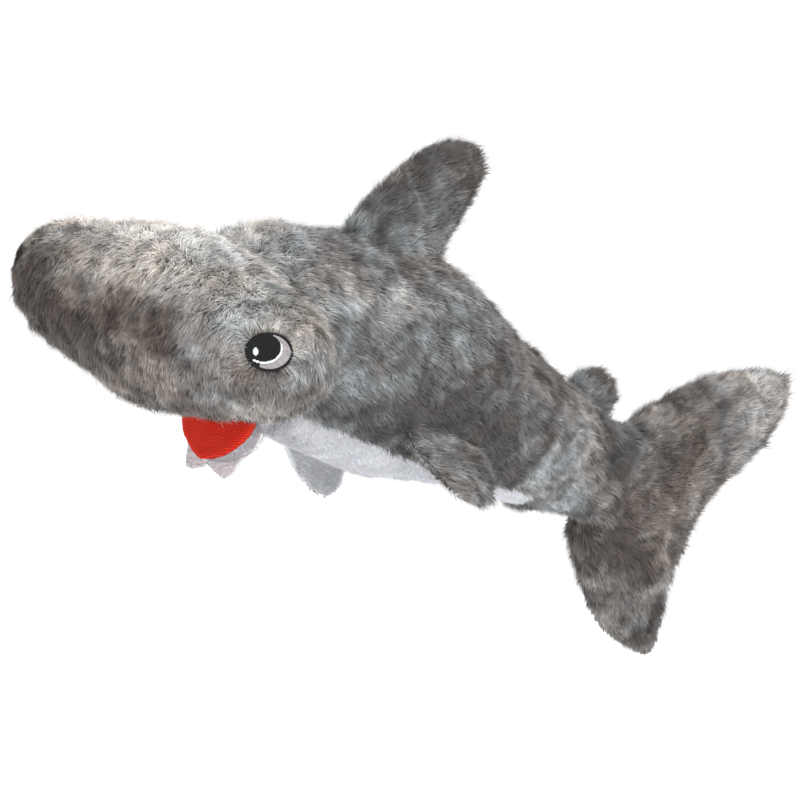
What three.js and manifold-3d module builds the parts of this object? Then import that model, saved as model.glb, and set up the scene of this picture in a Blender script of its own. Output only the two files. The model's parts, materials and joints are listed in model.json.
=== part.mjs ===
// A stuffed hammerhead shark toy, in millimetres.
// The nose points to -Y, the toy's left side is +X and its back is +Z. It is sewn from panels
// of long-pile and short-pile plush over loose filling, and each panel, filling and trim is a
// separate closed solid. The pieces are built about the neck (y = 0) and the body's axis
// (z = 0), and the finished toy is then set with its box's bottom centre on the origin.

import * as THREE from 'three';
import { mergeVertices } from 'three/addons/utils/BufferGeometryUtils.js';
import Module from 'manifold-3d';

const wasm = await Module();
wasm.setup();

// ---- Driving sizes -------------------------------------------------------------------------

const bodyLength = 212; // neck pivot to tail fin pivot
const bodyWidth = 74;
const backHeight = 56; // highest point of the back over the body's axis
const bellyDepth = 36; // lowest point of the belly under the axis
const bellyFlat = 32.5; // depth of the flat that the belly stands on
const neckRadius = 38; // ball-shaped root of the head
const neckHeight = 8; // neck pivot over the axis
const tailPivotShare = 0.7; // place of the tail's bend along the body
const tailPivotHeight = 10;

const headWidth = 160; // across the hammer, tip to tip
const headChord = 56; // hammer, front to back
const headHeight = 71; // hammer at its middle
const lobeHeight = 56; // hammer over its lobes
const headReach = 48; // neck pivot to the hammer's axis
const headDrop = 5.5; // hammer's axis under the body's axis
const eyeWidth = 16.5;
const eyeHeight = 13;
const eyeRise = 1; // eye over the hammer's axis
const eyeTurn = THREE.MathUtils.degToRad(33); // eye's facing, forward of sideways

const jawWidth = 42;
const jawLength = 25; // hinge to lip
const jawThickness = 9;
const jawHingeDrop = 27; // hinge under the body's axis
const jawHingeForward = 1; // hinge in front of the neck pivot
const mouthRoofDrop = 19;
const toothPitch = 22; // upper teeth, side by side
const toothLength = 6;
const upperTeethForward = 12; // upper teeth in front of the neck pivot
const feltThickness = 1.2;
const knitThickness = 1.8;

const dorsalLength = 52; // along the back
const dorsalHeight = 50;
const dorsalThickness = 20;
const dorsalStart = 23; // front of its root behind the neck pivot
const secondDorsalLength = 28;
const secondDorsalHeight = 14;
const secondDorsalThickness = 15;
const pectoralLength = 31;
const pectoralRoot = 52;
const pectoralThickness = 10;
const pectoralStart = 60; // front of its root behind the neck pivot
const leftDroop = THREE.MathUtils.degToRad(30); // how far each soft fin hangs at rest
const rightDroop = THREE.MathUtils.degToRad(88);
const pectoralRootDrop = 11; // root under the body's axis
const tailFinHeight = 78; // upper tip over the axis
const tailFinDepth = 59; // lower tip under the axis
const tailFinReach = 104; // neck-side root to the furthest tip, along the body
const tailFinThickness = 23;

const furThickness = 5; // long-pile plush, backing and flattened pile
const plushThickness = 3; // short-pile plush
const fit = 0.3; // clearance between pieces sewn or packed together
const bend = 1; // clearance at a joint that bends

// ---- Solids from rings of points -----------------------------------------------------------

const sweep = (count, at) => Array.from({ length: count }, (_, i) => at(i));
const lerp = THREE.MathUtils.lerp;
const big = 3 * bodyLength; // reaches past every piece
const roundSides = 18; // facets round a body section, a ball or a barrel
const finSides = 12;

function solidOf(geometry) {
  const bare = geometry.clone();
  bare.deleteAttribute('normal');
  bare.deleteAttribute('uv');
  const merged = mergeVertices(bare, 1e-4);
  return new wasm.Manifold(new wasm.Mesh({
    numProp: 3,
    vertProperties: new Float32Array(merged.attributes.position.array),
    triVerts: new Uint32Array(merged.index.array),
  }));
}

// A closed solid through rings that all have the same number of points.
function loft(rings) {
  const count = rings[0].length;
  const points = rings.flat();
  const faces = [];
  for (let r = 0; r + 1 < rings.length; r++) {
    for (let i = 0; i < count; i++) {
      const a = r * count + i;
      const b = r * count + (i + 1) % count;
      faces.push(a, b, b + count, a, b + count, a + count);
    }
  }
  for (const [first, flip] of [[0, true], [(rings.length - 1) * count, false]]) {
    const centre = new THREE.Vector3();
    for (let i = 0; i < count; i++) centre.addScaledVector(points[first + i], 1 / count);
    const hub = points.push(centre) - 1;
    for (let i = 0; i < count; i++) {
      const a = first + i;
      const b = first + (i + 1) % count;
      faces.push(...(flip ? [b, a, hub] : [a, b, hub]));
    }
  }
  const geometry = new THREE.BufferGeometry().setFromPoints(points);
  geometry.setIndex(faces);
  return solidOf(geometry);
}

function box(low, high, turn = new THREE.Matrix4()) {
  const size = new THREE.Vector3().subVectors(high, low);
  const shape = new THREE.BoxGeometry(size.x, size.y, size.z);
  shape.translate(...new THREE.Vector3().addVectors(low, high).multiplyScalar(0.5));
  return solidOf(shape.applyMatrix4(turn));
}

function ball(centre, radius) {
  const shape = new THREE.SphereGeometry(radius, roundSides, 11);
  shape.translate(centre.x, centre.y, centre.z);
  return solidOf(shape);
}

// A prism that runs across the toy over an outline of (y, z) points.
function acrossPrism(outline, halfWidth) {
  const shape = new THREE.Shape(outline.map(([y, z]) => new THREE.Vector2(y, z)));
  const prism = new THREE.ExtrudeGeometry(shape, { depth: 2 * halfWidth, bevelEnabled: false });
  prism.applyMatrix4(new THREE.Matrix4().makeBasis(
    new THREE.Vector3(0, 1, 0), new THREE.Vector3(0, 0, 1), new THREE.Vector3(1, 0, 0)));
  prism.translate(-halfWidth, 0, 0);
  return solidOf(prism);
}

// Smooth value at a place between stations of [place, value].
function smooth(stations, place) {
  const last = stations.length - 1;
  if (place <= stations[0][0]) return stations[0][1];
  if (place >= stations[last][0]) return stations[last][1];
  const i = stations.findIndex(([at]) => at > place) - 1;
  const slope = (k) => {
    const [a, b] = [stations[Math.max(k - 1, 0)], stations[Math.min(k + 1, last)]];
    return (b[1] - a[1]) / (b[0] - a[0]);
  };
  const [[x0, v0], [x1, v1]] = [stations[i], stations[i + 1]];
  const span = x1 - x0;
  const t = (place - x0) / span;
  return v0 * (1 + 2 * t) * (1 - t) ** 2 + slope(i) * span * t * (1 - t) ** 2
    + v1 * t * t * (3 - 2 * t) + slope(i + 1) * span * t * t * (t - 1);
}

// ---- Trunk and tail stalk: one tapering body ------------------------------------------------

const neck = new THREE.Vector3(0, 0, neckHeight);
const tailPivot = new THREE.Vector3(0, tailPivotShare * bodyLength, tailPivotHeight);
const finPivot = new THREE.Vector3(0, bodyLength, 7);

// Shares of the width, back and belly along the body, from the neck (0) to the tail fin (1).
const widthShares = [[-0.06, 0.74], [0.09, 0.93], [0.2, 1], [0.38, 0.97], [0.51, 0.88],
  [0.61, 0.78], [0.73, 0.65], [0.84, 0.53], [0.96, 0.41], [1.04, 0.36]];
const backShares = [[-0.06, 0.76], [0.09, 0.91], [0.2, 0.97], [0.38, 1], [0.51, 0.88],
  [0.61, 0.76], [0.73, 0.65], [0.84, 0.57], [0.96, 0.48], [1.04, 0.45]];
const bellyShares = [[-0.06, 0.72], [0.09, 0.93], [0.2, 1], [0.38, 0.92], [0.51, 0.78],
  [0.61, 0.67], [0.73, 0.5], [0.84, 0.38], [0.96, 0.38], [1.04, 0.42]];

function bodySection(y, inset = 0) {
  const share = y / bodyLength;
  return {
    half: bodyWidth / 2 * smooth(widthShares, share) - inset,
    top: backHeight * smooth(backShares, share) - inset,
    bottom: -bellyDepth * smooth(bellyShares, share) + inset,
  };
}

// Where the skin's side is at a height, on the left of the toy.
function bodySide(y, z) {
  const { half, top, bottom } = bodySection(y);
  const middle = (top + bottom) / 2;
  return half * Math.sqrt(Math.max(0, 1 - ((z - middle) / (top - middle)) ** 2));
}

const trunkFrom = -0.05 * bodyLength;
const stalkTo = finPivot.y + 4;

function bodyLoft(inset) {
  const steps = 13;
  return loft(sweep(steps, (k) => {
    const y = lerp(trunkFrom, stalkTo, k / (steps - 1));
    const { half, top, bottom } = bodySection(y, inset);
    return sweep(roundSides, (i) => {
      const angle = -2 * Math.PI * i / roundSides;
      return new THREE.Vector3(half * Math.cos(angle), y,
        (top + bottom) / 2 + (top - bottom) / 2 * Math.sin(angle));
    });
  }));
}

// Everything above or below the seam between the grey back and the white belly. The belly
// panel ends in a tongue under the tail, and everything behind it is grey.
const seamShares = [[-0.2, -0.5], [0.1, -0.56], [0.3, -0.53], [0.45, -0.55], [0.6, -0.47],
  [0.72, -0.38], [0.8, -0.3]];

function bellySide(above) {
  const gap = above ? fit / 2 : -fit / 2;
  const start = seamShares[0][0] * bodyLength;
  const end = seamShares[seamShares.length - 1][0] * bodyLength + gap;
  const steps = 18;
  const seam = sweep(steps + 1, (k) => {
    const y = lerp(start, end, k / steps);
    return [y, bellyDepth * smooth(seamShares, y / bodyLength) + gap];
  });
  return acrossPrism(above
    ? [...seam, [end, -big], [big, -big], [big, big], [start, big]]
    : [...seam, [end, -big], [start, -big]], big);
}

const leftHalf = box(new THREE.Vector3(fit / 2, -big, -big), new THREE.Vector3(big, big, big));
const rightHalf = box(new THREE.Vector3(-big, -big, -big), new THREE.Vector3(-fit / 2, big, big));

// Behind a slanting plane, the trunk's front rim, which leaves room for the jaw and the neck.
const rimTop = -1;
const rimBottom = 22;
const behindRim = acrossPrism([[rimTop, backHeight + 9], [big, backHeight + 9],
  [big, -bellyDepth - 9], [rimBottom, -bellyDepth - 9]], big);

// A round of the body's own section at the tail's bend, and the ball that fits inside it.
const tailSection = bodySection(tailPivot.y);
const tailBall = Math.max(tailSection.top - tailPivot.z, tailPivot.z - tailSection.bottom,
  tailSection.half) + 3;
const finBarrel = bodySection(finPivot.y).half + 1.5;
const finSection = bodySection(finPivot.y);

function barrel(radius, low, high) {
  const shape = new THREE.CylinderGeometry(radius, radius, high - low, roundSides);
  shape.rotateX(Math.PI / 2);
  shape.translate(finPivot.x, finPivot.y, (low + high) / 2);
  return solidOf(shape);
}

const trunkCut = (solid, gap) => solid.intersect(behindRim)
  .subtract(ball(neck, neckRadius + bend + gap))
  .subtract(ball(tailPivot, tailBall + bend + gap))
  .intersect(box(new THREE.Vector3(-big, -big, -bellyFlat + gap),
    new THREE.Vector3(big, tailPivot.y, big)));
const stalkCut = (solid, gap) => solid
  .intersect(ball(tailPivot, tailBall - gap).add(box(
    new THREE.Vector3(-big, tailPivot.y, -big), new THREE.Vector3(big, big, big))))
  .subtract(barrel(finBarrel + bend + gap, -big, big));

const bodySkin = bodyLoft(0).subtract(bodyLoft(furThickness));
const bodyFill = bodyLoft(furThickness + fit);
const trunkSkin = trunkCut(bodySkin, 0);
const stalkSkin = stalkCut(bodySkin, 0);
const aboveSeam = bellySide(true);
const belowSeam = bellySide(false);

// ---- Head: a hammer on a ball-shaped neck ---------------------------------------------------

const barCentre = new THREE.Vector3(0, -headReach, -headDrop);

function barHalves(x, inset) {
  const across = Math.min(Math.abs(x) / (headWidth / 2 - inset), 1);
  const round = (1 - across ** 3.6) ** (1 / 3.6);
  const blend = THREE.MathUtils.smoothstep(across, 0, 0.75);
  return {
    chord: (headChord / 2 - inset) * round,
    height: (lerp(headHeight, lobeHeight, blend) / 2 - inset) * round,
  };
}

function bar(inset) {
  const steps = 13;
  return loft(sweep(steps, (k) => {
    const x = (headWidth / 2 - inset) * -Math.cos(Math.PI * lerp(0.02, 0.98, k / (steps - 1)));
    const { chord, height } = barHalves(x, inset);
    return sweep(roundSides, (i) => {
      const angle = 2 * Math.PI * i / roundSides;
      return new THREE.Vector3(x, barCentre.y + chord * Math.cos(angle),
        barCentre.z + height * Math.sin(angle));
    });
  }));
}

const jawHinge = new THREE.Vector3(0, -jawHingeForward, -jawHingeDrop);
const mouthFront = jawHinge.y - jawLength - toothLength;
const mouthBack = jawHinge.y + jawThickness / 2;
const mouthRecess = (gap) => box(
  new THREE.Vector3(-jawWidth / 2 - 4 - gap, mouthFront - gap, -big),
  new THREE.Vector3(jawWidth / 2 + 4 + gap, mouthBack + 2 + gap,
    -mouthRoofDrop + gap));

const headShape = (inset) => bar(inset).add(ball(neck, neckRadius - inset));
const headSkin = headShape(0).subtract(headShape(furThickness)).subtract(mouthRecess(0));
const headSplit = -headReach + headChord / 2 + 1; // seam between the hammer and the neck
const cheekSeam = -0.62 * lobeHeight / 2 - headDrop; // seam round the hammer's underside
const throatSeam = -headDrop - 6;
const headBox = (y0, y1, z0, z1) => box(new THREE.Vector3(-big, y0, z0),
  new THREE.Vector3(big, y1, z1));

// ---- Eyes, lining and teeth -----------------------------------------------------------------

function eyePatch(side) {
  const facing = new THREE.Vector3(Math.cos(eyeTurn), -Math.sin(eyeTurn), 0);
  const pad = new THREE.CylinderGeometry(1, 1, headWidth, 26);
  pad.rotateX(Math.PI / 2);
  pad.scale(eyeWidth / 2, eyeHeight / 2, 1);
  const across = new THREE.Vector3(Math.sin(eyeTurn), Math.cos(eyeTurn), 0);
  pad.applyMatrix4(new THREE.Matrix4().makeBasis(across, new THREE.Vector3(0, 0, 1), facing));
  const lobeCentre = headWidth / 2 - headChord / 2;
  pad.translate(lobeCentre + facing.x * headWidth / 2,
    barCentre.y + facing.y * headWidth / 2, barCentre.z + eyeRise);
  const patch = bar(-fit - 1.4).subtract(bar(-fit)).intersect(solidOf(pad));
  return side > 0 ? patch : patch.mirror([1, 0, 0]);
}

// The lip of the jaw: straight sides, then a half ellipse, as (x, z) under the hinge.
function lip(offset, count = 17) {
  const straight = 7;
  return sweep(count, (i) => {
    const angle = Math.PI * i / (count - 1);
    return [(jawWidth / 2 + offset) * Math.cos(angle),
      -straight - (jawLength - straight + offset) * Math.sin(angle)];
  });
}

// A flat piece of cloth in the jaw, between two depths measured back from the hinge.
function jawLayer(inset, front, back) {
  const shape = new THREE.Shape([[jawWidth / 2 - inset, 0], [-jawWidth / 2 + inset, 0],
    ...lip(-inset).reverse()].map(([x, z]) => new THREE.Vector2(x, z)));
  return standing(new THREE.ExtrudeGeometry(shape, { depth: back - front, bevelEnabled: false }),
    jawHinge.y + front, jawHinge.z);
}

// Turns an extrusion drawn in (x, z) upright and moves it to a depth and a height.
function standing(extrusion, y, z) {
  extrusion.rotateX(Math.PI / 2);
  const depth = new THREE.Box3().setFromBufferAttribute(extrusion.attributes.position);
  extrusion.translate(0, y - depth.min.y, z);
  return solidOf(extrusion);
}

// Two points hang from the front of the lip, and the band runs on up both of its sides.
function lowerTeeth() {
  const steps = 48;
  const inner = lip(fit, steps + 1);
  const edge = lip(fit + 1.6, steps + 1);
  const point = lip(fit + 1.6 + toothLength, steps + 1);
  const outer = sweep(steps + 1, (i) => {
    const share = 4 * i / steps;
    const rise = share > 1 && share < 3 ? 1 - Math.abs(2 * (share % 1) - 1) : 0;
    return [lerp(edge[i][0], point[i][0], rise), lerp(edge[i][1], point[i][1], rise)];
  });
  const shape = new THREE.Shape([...outer, ...inner.reverse()]
    .map(([x, z]) => new THREE.Vector2(x, z)));
  return standing(new THREE.ExtrudeGeometry(shape, { depth: feltThickness, bevelEnabled: false }),
    jawHinge.y + 1, jawHinge.z);
}

const palateUnder = -mouthRoofDrop - fit - knitThickness;
const palate = box(
  new THREE.Vector3(-jawWidth / 2, mouthFront + 8, palateUnder),
  new THREE.Vector3(jawWidth / 2, mouthBack, -mouthRoofDrop - fit));

// Two points hang from a hem along the palate.
function upperTeeth() {
  const top = palateUnder - fit;
  const hem = top - toothLength;
  const shape = new THREE.Shape([[-toothPitch, top], [-toothPitch, hem],
    [-toothPitch / 2, hem - toothLength], [0, hem], [toothPitch / 2, hem - toothLength],
    [toothPitch, hem], [toothPitch, top]].map(([x, z]) => new THREE.Vector2(x, z)));
  return standing(new THREE.ExtrudeGeometry(shape, { depth: feltThickness, bevelEnabled: false }),
    -upperTeethForward - feltThickness, 0);
}

// ---- Fins: lofts of oval sections from the root to the tip ----------------------------------

// Each section is [along the span, front edge, back edge, half thickness]. place() turns
// (side, along the chord, along the span) into a point of the toy. An inset fin leaves out the
// sections that are too thin to hold filling.
function fin(sections, inset, place) {
  const thinnest = inset > 0 ? inset + 0.5 : 0;
  const kept = sections.filter((section) => section[3] > thinnest);
  const [low, high] = [sections[0][0], sections[sections.length - 1][0]];
  return loft(kept.map(([span, front, back, half]) => sweep(finSides, (i) => {
    const angle = 2 * Math.PI * i / finSides;
    const reach = span < 0 ? low : high;
    return place((half - inset) * Math.cos(angle),
      (front + back) / 2 + ((back - front) / 2 - inset) * Math.sin(angle),
      span * (1 - inset / Math.abs(reach)));
  })));
}

// The two panels of a fin, either side of a plane, and its filling.
function finPieces(sections, place, thickness, sideA, sideB, clip) {
  const outer = clip(fin(sections, 0, place));
  const skin = outer.subtract(fin(sections, thickness, place));
  return {
    a: skin.intersect(sideA),
    b: skin.intersect(sideB),
    filling: clip(fin(sections, thickness + fit, place)),
  };
}

const upright = (side, along, span) => new THREE.Vector3(side, along, span);

// The underside of a fin that stands on the back: it clears the back's own line.
function overBack(yFrom, yTo, gap) {
  const line = sweep(9, (k) => {
    const y = lerp(yFrom, yTo, k / 8);
    return [y, bodySection(y).top + gap];
  });
  return acrossPrism([...line, [yTo, big], [yFrom, big]], big);
}

const rootGap = 2;
const dorsalRoot = bodySection(dorsalStart + dorsalLength / 2).top;
const dorsalShares = [[-0.25, -0.03, 1.05, 1], [0, 0, 1, 1], [0.25, 0.12, 0.99, 0.95],
  [0.5, 0.28, 1.04, 0.88], [0.72, 0.44, 1.1, 0.76], [0.88, 0.6, 1.12, 0.58],
  [0.97, 0.74, 1.07, 0.34], [1, 0.84, 0.98, 0.12]];
const dorsal = finPieces(
  dorsalShares.map(([span, front, back, thick]) => [dorsalRoot + span * dorsalHeight,
    dorsalStart + front * dorsalLength, dorsalStart + back * dorsalLength,
    thick * dorsalThickness / 2]),
  upright, furThickness, leftHalf, rightHalf,
  (solid) => solid.intersect(overBack(dorsalStart - 20, dorsalStart + dorsalLength + 25, rootGap)));

const secondStart = tailPivot.y + 32;
const secondRoot = bodySection(secondStart + secondDorsalLength / 2).top;
const secondShares = [[-0.5, -0.05, 1.02, 1], [0, 0, 1, 1], [0.45, 0.12, 0.98, 0.9],
  [0.8, 0.3, 0.94, 0.66], [1, 0.5, 0.82, 0.2]];
const secondDorsal = finPieces(
  secondShares.map(([span, front, back, thick]) => [secondRoot + span * secondDorsalHeight,
    secondStart + front * secondDorsalLength, secondStart + back * secondDorsalLength,
    thick * secondDorsalThickness / 2]),
  upright, plushThickness, leftHalf, rightHalf,
  (solid) => solid.intersect(overBack(secondStart - 8, secondStart + secondDorsalLength + 8,
    rootGap)));

// Pectoral fins hang from a hinge line that stands off the body's side.
const pectoralMiddle = pectoralStart + pectoralRoot / 2;
const pectoralSide = Math.max(...[0, 0.5, 1].map((share) => bodySide(
  pectoralStart + share * pectoralRoot, -pectoralRootDrop)));
const standOff = pectoralThickness / 2 + bend;
const pectoralHinge = new THREE.Vector3(pectoralSide + 0.86 * standOff, pectoralMiddle,
  -pectoralRootDrop - 0.51 * standOff);
const pectoralShares = [[-0.3, 0, 1, 1], [0, 0, 1, 1], [0.3, 0.07, 0.98, 0.97],
  [0.58, 0.18, 0.95, 0.9], [0.8, 0.3, 0.91, 0.74], [0.94, 0.42, 0.84, 0.45],
  [1, 0.53, 0.74, 0.14]];

function pectoral(droop) {
  const frame = new THREE.Matrix4().makeBasis(
    new THREE.Vector3(-Math.sin(droop), 0, -Math.cos(droop)),
    new THREE.Vector3(0, 1, 0),
    new THREE.Vector3(Math.cos(droop), 0, -Math.sin(droop)),
  ).setPosition(pectoralHinge.x, 0, pectoralHinge.z);
  return finPieces(
    pectoralShares.map(([span, front, back, thick]) => [span * pectoralLength,
      pectoralStart + front * pectoralRoot, pectoralStart + back * pectoralRoot,
      thick * pectoralThickness / 2]),
    (side, along, span) => new THREE.Vector3(side, along, span).applyMatrix4(frame),
    plushThickness,
    box(new THREE.Vector3(fit / 2, -big, -big), new THREE.Vector3(big, big, big), frame),
    box(new THREE.Vector3(-big, -big, -big), new THREE.Vector3(-fit / 2, big, big), frame),
    (solid) => solid.intersect(box(
      new THREE.Vector3(-big, -big, 0), new THREE.Vector3(big, big, big), frame)));
}

// Tail fin: spans are shares of its depth under the axis or of its height over it.
const tailShares = [[-1, 0.69, 0.76, 0.12], [-0.95, 0.56, 0.79, 0.45], [-0.86, 0.44, 0.79, 0.66],
  [-0.68, 0.29, 0.76, 0.85], [-0.4, 0.14, 0.73, 0.96], [-0.14, 0.13, 0.73, 1],
  [0.1, 0.12, 0.75, 1], [0.3, 0.14, 0.82, 1], [0.45, 0.26, 0.9, 0.95], [0.6, 0.36, 0.97, 0.9],
  [0.74, 0.5, 1, 0.8], [0.87, 0.65, 1, 0.66], [0.95, 0.78, 0.98, 0.45], [1, 0.87, 0.95, 0.12]];
const tailSections = tailShares.map(([span, front, back, thick]) => [
  span < 0 ? span * tailFinDepth : span * tailFinHeight,
  finPivot.y + front * tailFinReach - 12, finPivot.y + back * tailFinReach - 12 + 6,
  thick * tailFinThickness / 2]);
const tailOuter = fin(tailSections, 0, upright)
  .add(barrel(finBarrel, finSection.bottom + 1, finSection.top - 1));
const tailInner = (inset) => fin(tailSections, inset, upright)
  .add(barrel(finBarrel - inset, finSection.bottom + 1 + inset, finSection.top - 1 - inset));
const tailSkin = tailOuter.subtract(tailInner(furThickness));

// ---- The named pieces -----------------------------------------------------------------------

const cloth = (color, roughness = 0.95) => new THREE.MeshStandardMaterial({ color, roughness });
const greyFur = cloth(0x857f79);
const whitePlush = cloth(0xc9cdd1);
const redKnit = cloth(0xc2250f, 0.85);
const whiteFelt = cloth(0xd6d6d8);
const filling = cloth(0xf2f0ea, 1);
const thread = cloth(0x16161a, 0.6);

const toy = new THREE.Group();
function piece(name, solid, material) {
  const { numProp, vertProperties, triVerts } = solid.getMesh();
  const points = new THREE.BufferGeometry();
  points.setAttribute('position', new THREE.BufferAttribute(
    Float32Array.from({ length: 3 * vertProperties.length / numProp },
      (_, i) => vertProperties[Math.floor(i / 3) * numProp + i % 3]), 3));
  points.setIndex(new THREE.BufferAttribute(new Uint32Array(triVerts), 1));
  points.computeVertexNormals();
  const mesh = new THREE.Mesh(points, material);
  mesh.name = name;
  toy.add(mesh);
}

piece('back_panel_left', trunkSkin.intersect(aboveSeam).intersect(leftHalf), greyFur);
piece('back_panel_right', trunkSkin.intersect(aboveSeam).intersect(rightHalf), greyFur);
piece('belly_panel', trunkSkin.intersect(belowSeam), whitePlush);
piece('body_stuffing', trunkCut(bodyFill, furThickness), filling);

piece('tail_panel_left', stalkSkin.intersect(aboveSeam).intersect(leftHalf), greyFur);
piece('tail_panel_right', stalkSkin.intersect(aboveSeam).intersect(rightHalf), greyFur);
piece('tail_underside_panel', stalkSkin.intersect(belowSeam), whitePlush);
piece('tail_stuffing', stalkCut(bodyFill, furThickness / 2), filling);

piece('head_top_panel', headSkin.intersect(headBox(-big, headSplit, cheekSeam, big)), greyFur);
piece('head_underside_panel',
  headSkin.intersect(headBox(-big, headSplit, -big, cheekSeam - fit)), greyFur);
piece('neck_panel', headSkin.intersect(headBox(headSplit + fit, big, throatSeam, big)), greyFur);
piece('throat_panel',
  headSkin.intersect(headBox(headSplit + fit, big, -big, throatSeam - fit)), whitePlush);
piece('head_stuffing', headShape(furThickness + fit).subtract(mouthRecess(fit)), filling);
piece('eye_left', eyePatch(1), thread);
piece('eye_right', eyePatch(-1), thread);
piece('palate_lining', palate, redKnit);
piece('upper_teeth', upperTeeth(), whiteFelt);

const jawHalf = jawThickness / 2;
piece('jaw_lining', jawLayer(0, -jawHalf, -jawHalf + knitThickness), redKnit);
piece('jaw_wadding', jawLayer(2, -jawHalf + knitThickness + fit,
  jawHalf - plushThickness - fit), filling);
piece('jaw_underside', jawLayer(0, jawHalf - plushThickness, jawHalf), whitePlush);
piece('lower_teeth', lowerTeeth(), whiteFelt);

piece('dorsal_fin_left', dorsal.a, greyFur);
piece('dorsal_fin_right', dorsal.b, greyFur);
piece('dorsal_fin_stuffing', dorsal.filling, filling);
piece('second_dorsal_left', secondDorsal.a, greyFur);
piece('second_dorsal_right', secondDorsal.b, greyFur);
piece('second_dorsal_wadding', secondDorsal.filling, filling);
for (const [side, droop] of [['left', leftDroop], ['right', rightDroop]]) {
  const made = pectoral(droop);
  const turned = (solid) => (side === 'right' ? solid.mirror([1, 0, 0]) : solid);
  piece(`pectoral_top_${side}`, turned(made.b), greyFur);
  piece(`pectoral_underside_${side}`, turned(made.a), whitePlush);
  piece(`pectoral_wadding_${side}`, turned(made.filling), filling);
}
piece('tail_fin_left', tailSkin.intersect(leftHalf), greyFur);
piece('tail_fin_right', tailSkin.intersect(rightHalf), greyFur);
piece('tail_fin_stuffing', tailInner(furThickness + fit), filling);

// Stand the toy with the bottom centre of its box on the origin.
const bounds = new THREE.Box3().setFromObject(toy);
toy.position.set(0, -(bounds.min.y + bounds.max.y) / 2, -bounds.min.z);

export default toy;
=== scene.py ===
import json
import math
import bmesh
import bpy
import numpy as np
from mathutils import Matrix, Vector, noise
from mathutils.bvhtree import BVHTree


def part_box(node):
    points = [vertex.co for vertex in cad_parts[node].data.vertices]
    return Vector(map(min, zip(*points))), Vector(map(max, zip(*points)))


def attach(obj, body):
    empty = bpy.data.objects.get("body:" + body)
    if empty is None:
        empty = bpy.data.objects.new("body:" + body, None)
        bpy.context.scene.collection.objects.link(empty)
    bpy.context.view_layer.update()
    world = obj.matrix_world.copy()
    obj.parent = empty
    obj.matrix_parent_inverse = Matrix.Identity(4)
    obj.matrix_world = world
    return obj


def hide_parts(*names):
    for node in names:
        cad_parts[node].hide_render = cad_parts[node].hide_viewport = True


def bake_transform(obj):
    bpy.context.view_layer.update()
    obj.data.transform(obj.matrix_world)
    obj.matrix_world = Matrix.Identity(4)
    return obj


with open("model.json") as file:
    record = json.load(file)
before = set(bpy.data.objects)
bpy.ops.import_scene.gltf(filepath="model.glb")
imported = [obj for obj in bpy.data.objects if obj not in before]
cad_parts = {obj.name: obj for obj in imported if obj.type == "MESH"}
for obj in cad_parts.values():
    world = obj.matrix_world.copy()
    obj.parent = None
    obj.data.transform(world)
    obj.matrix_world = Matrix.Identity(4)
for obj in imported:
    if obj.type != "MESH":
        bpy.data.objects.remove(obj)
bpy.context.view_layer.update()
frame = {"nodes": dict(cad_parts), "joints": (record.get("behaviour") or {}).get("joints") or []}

# ---- View ------------------------------------------------------------------------------------
# The toy floats in front of a long lens, seen a little from ahead of its left side and tipped
# nose up. The stage is a wide pale floor under even, soft studio light.
joint = {j["name"]: j for j in frame["joints"]}
neck = Vector(joint["neck_nod"]["pos_m"])
axis_z = neck.z - 0.008    # the height of the trunk's own axis
aim = Vector((0, neck.y + 0.088, axis_z))
azimuth, elevation, roll = math.radians(45), math.radians(-1), math.radians(22)
camera_distance = 2.3
away = Vector((math.sin(azimuth) * math.cos(elevation), -math.cos(azimuth) * math.cos(elevation),
               math.sin(elevation)))
camera = bpy.data.objects.new("camera", bpy.data.cameras.new("camera"))
camera.data.lens = 250.5
camera.data.sensor_width = 36
camera.data.clip_start, camera.data.clip_end = 0.1, 60
camera.rotation_mode = "QUATERNION"
camera.location = aim + away * camera_distance
camera.rotation_quaternion = ((-away).to_track_quat("-Z", "Y").to_matrix()
                              @ Matrix.Rotation(roll, 3, "Z")).to_quaternion()
bpy.context.scene.collection.objects.link(camera)
bpy.context.scene.camera = camera
bpy.context.scene.view_settings.view_transform = "Standard"


def softbox(name, place, size, power, tint):
    """A soft area light that points at the toy."""
    lamp = bpy.data.lights.new(name, "AREA")
    lamp.shape, lamp.size, lamp.size_y = "RECTANGLE", size[0], size[1]
    lamp.energy, lamp.color = power, tint
    obj = bpy.data.objects.new(name, lamp)
    obj.location = place
    obj.rotation_mode = "QUATERNION"
    obj.rotation_quaternion = (aim - Vector(place)).to_track_quat("-Z", "Y")
    bpy.context.scene.collection.objects.link(obj)


softbox("key_light", (1.5, -1.5, 1.0), (0.9, 0.9), 30, (1, 0.99, 0.97))
softbox("top_light", (0.3, -0.5, 2.1), (1.4, 1.4), 20, (1, 1, 1))
softbox("back_light", (-1.5, 1.4, 1.2), (1.4, 1.4), 10, (0.95, 0.98, 1))

world = bpy.data.worlds.new("studio")
world.use_nodes = True
sky = world.node_tree.nodes["Background"].inputs
sky["Color"].default_value, sky["Strength"].default_value = (1, 1, 1, 1), 1.02
bpy.context.scene.world = world

floor_radius, floor_sides, floor_drop = 14, 96, 0.0065
floor_mesh = bpy.data.meshes.new("floor")
rim = [(floor_radius * math.cos(a), floor_radius * math.sin(a), -floor_drop)
       for a in np.linspace(0, 2 * math.pi, floor_sides + 1)[:-1]]
floor_mesh.from_pydata(rim, [], [list(range(floor_sides))])
floor = bpy.data.objects.new("floor", floor_mesh)
bpy.context.scene.collection.objects.link(floor)
pale = bpy.data.materials.new("pale_floor")
pale.use_nodes = True
for key, value in (("Base Color", (0.9, 0.9, 0.9, 1)), ("Roughness", 1.0),
                   ("Specular IOR Level", 0), ("Emission Color", (1, 1, 1, 1)),
                   ("Emission Strength", 0.45)):
    pale.node_tree.nodes["Principled BSDF"].inputs[key].default_value = value
floor_mesh.materials.append(pale)

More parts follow.
